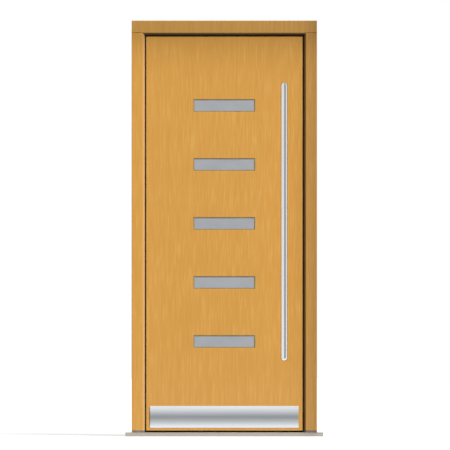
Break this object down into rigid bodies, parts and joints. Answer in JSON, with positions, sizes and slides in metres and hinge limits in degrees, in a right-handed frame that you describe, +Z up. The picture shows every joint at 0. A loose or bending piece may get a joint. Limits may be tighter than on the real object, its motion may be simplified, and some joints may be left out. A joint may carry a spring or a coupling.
{
  "type": "front door with frame",
  "caption": "Wooden front door in its frame: inward-swinging leaf with a ladder of slim satin windows, tall steel pull bar, kick plate, hinges and multi-point lock.",
  "frame": {"origin": "middle of the sill's bottom face, at half the frame's depth", "axes": "+Z up, -Y towards the outside of the house, +X towards the lock jamb"},
  "size_m": [1, 0.217, 2.1],
  "materials": {
    "frame_wood": "oiled, satin, fine vertical grain",
    "leaf_wood": "oiled, satin, fine vertical grain",
    "inside_wood": "oiled, satin",
    "core_board": "raw insulating board",
    "sill_stone": "warm grey composite, matt",
    "sill_metal": "anodised, satin",
    "foot_plastic": "grey, matt",
    "seal_rubber": "dark brown, matt",
    "stainless": "brushed stainless",
    "lock_steel": "satin stainless",
    "satin_glass": "satin, etched"
  },
  "bodies": {
    "frame": {"hinge_jamb": "frame_wood", "lock_jamb": "frame_wood", "frame_head": "frame_wood", "sill": "sill_stone", "sill_strip": "sill_metal", "jamb_feet": "foot_plastic", "frame_gasket": "seal_rubber", "frame_screws": "lock_steel", "hinge_frame_wings": "lock_steel", "hinge_pins": "lock_steel", "hinge_frame_screws": "lock_steel", "strike_plate": "lock_steel", "roller_keeps": "lock_steel", "strike_screws": "lock_steel"},
    "leaf": {"outer_panel": "leaf_wood", "inner_panel": "inside_wood", "hinge_stile": "inside_wood", "lock_stile": "inside_wood", "top_rail": "inside_wood", "bottom_rail": "inside_wood", "core": "core_board", "outer_pane_1": "satin_glass", "outer_pane_2": "satin_glass", "outer_pane_3": "satin_glass", "outer_pane_4": "satin_glass", "outer_pane_5": "satin_glass", "inner_pane_1": "satin_glass", "inner_pane_2": "satin_glass", "inner_pane_3": "satin_glass", "inner_pane_4": "satin_glass", "inner_pane_5": "satin_glass", "bead_1": "inside_wood", "bead_2": "inside_wood", "bead_3": "inside_wood", "bead_4": "inside_wood", "bead_5": "inside_wood", "pane_spacers": "sill_metal", "pane_gaskets": "seal_rubber", "kick_plate": "stainless", "pull_bar": "stainless", "pull_posts": "stainless", "pull_bolts": "lock_steel", "hinge_leaf_wings": "lock_steel", "hinge_bushes": "foot_plastic", "hinge_leaf_screws": "lock_steel", "bottom_seal_rail": "sill_metal", "bottom_seal_lip": "seal_rubber", "lock_case": "lock_steel", "lock_faceplate": "lock_steel", "faceplate_screws": "lock_steel", "lock_cylinder": "lock_steel", "lever_rose": "lock_steel", "turn_rose": "lock_steel"},
    "lever": {"lever_handle": "lock_steel", "latch_follower": "lock_steel"},
    "latch": {"latch_bolt": "lock_steel"},
    "rods": {"drive_rods": "lock_steel"},
    "turn": {"thumb_turn": "lock_steel"},
    "bolt": {"dead_bolt": "lock_steel"}
  },
  "joints": [
    {"name": "leaf_swing", "type": "hinge", "parent": "frame", "child": "leaf", "pos_m": [-0.4135, 0.0545, 1.024], "axis": [0, 0, 1], "range_deg": [0, 110]},
    {"name": "lever_turn", "type": "hinge", "parent": "leaf", "child": "lever", "pos_m": [0.3455, 0.053, 1.05], "axis": [0, -1, 0], "range_deg": [0, 40], "stiffness_Nm_per_rad": 1.5, "springref_deg": -28.65},
    {"name": "latch_slide", "type": "slide", "parent": "leaf", "child": "latch", "axis": [-1, 0, 0], "range_m": [0, 0.012]},
    {"name": "rod_slide", "type": "slide", "parent": "leaf", "child": "rods", "axis": [0, 0, 1], "range_m": [0, 0.018]},
    {"name": "turn_twist", "type": "hinge", "parent": "leaf", "child": "turn", "pos_m": [0.3455, 0.053, 0.958], "axis": [0, 1, 0], "range_deg": [0, 90]},
    {"name": "bolt_slide", "type": "slide", "parent": "leaf", "child": "bolt", "axis": [1, 0, 0], "range_m": [0, 0.02]}
  ],
  "couplings": [
    {"joint": "latch_slide", "follows": "lever_turn", "m_per_rad": 0.01718},
    {"joint": "turn_twist", "follows": "rod_slide", "rad_per_m": 87.2},
    {"joint": "bolt_slide", "follows": "rod_slide", "ratio": 1.111}
  ]
}
